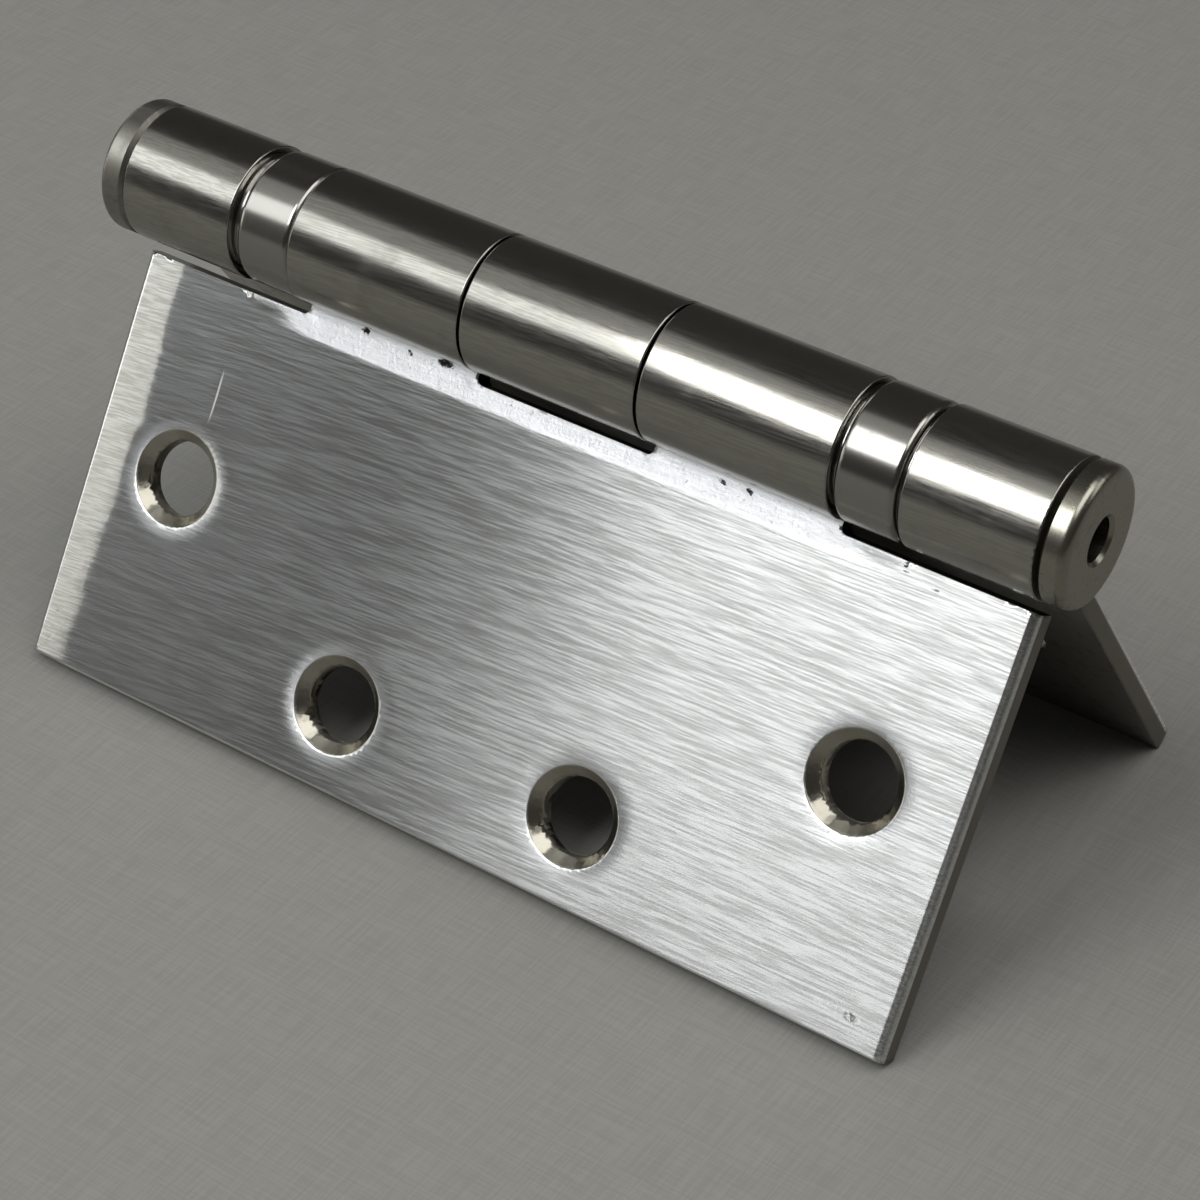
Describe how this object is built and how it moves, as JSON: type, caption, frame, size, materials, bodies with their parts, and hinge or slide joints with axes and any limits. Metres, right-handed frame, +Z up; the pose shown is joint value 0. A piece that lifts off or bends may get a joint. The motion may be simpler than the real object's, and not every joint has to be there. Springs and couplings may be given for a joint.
{
  "type": "full mortise hinge",
  "caption": "Full mortise butt hinge in brushed stainless steel, with ball-bearing knuckles, a removable button-head pin and countersunk screw holes, standing half open as a tent",
  "frame": {"origin": "on the floor under the middle of the hinge, at the bottom centre of the bounding box", "axes": "+X runs along the pin from its button head to the bottom tip, +Z is up from the floor to the knuckles and +Y is from the front leaf to the back leaf"},
  "size_m": [0.121, 0.0618, 0.0572],
  "materials": {
    "leaf_steel": "satin brushed, lines parallel to the pin",
    "pin_steel": "satin turned",
    "ring_steel": "fine turned, bright chamfers",
    "bearing_steel": "ground bearing steel",
    "cage_brass": "stamped brass"
  },
  "bodies": {
    "back_side": {"leaf_back": "leaf_steel", "hinge_pin": "pin_steel", "bottom_tip": "pin_steel", "bearing_1_upper_race": "bearing_steel", "bearing_2_ring": "ring_steel", "bearing_2_lower_race": "bearing_steel"},
    "front_side": {"leaf_front": "leaf_steel", "bearing_1_ring": "ring_steel", "bearing_1_lower_race": "bearing_steel", "bearing_2_upper_race": "bearing_steel"},
    "bearing_1_rollers": {"bearing_1_cage": "cage_brass", "bearing_1_balls": "bearing_steel"},
    "bearing_2_rollers": {"bearing_2_cage": "cage_brass", "bearing_2_balls": "bearing_steel"}
  },
  "joints": [
    {"name": "leaf_swing", "type": "hinge", "parent": "back_side", "child": "front_side", "pos_m": [0, 0, 0.04953], "axis": [1, 0, 0], "range_deg": [-293.6, 24]},
    {"name": "bearing_1_turn", "type": "hinge", "parent": "back_side", "child": "bearing_1_rollers", "pos_m": [-0.03815, 0, 0.04953], "axis": [1, 0, 0], "range_deg": [-146.8, 12]},
    {"name": "bearing_2_turn", "type": "hinge", "parent": "back_side", "child": "bearing_2_rollers", "pos_m": [0.03815, 0, 0.04953], "axis": [1, 0, 0], "range_deg": [-146.8, 12]}
  ],
  "couplings": [
    {"joint": "bearing_1_turn", "follows": "leaf_swing", "ratio": 0.5},
    {"joint": "bearing_2_turn", "follows": "leaf_swing", "ratio": 0.5}
  ]
}
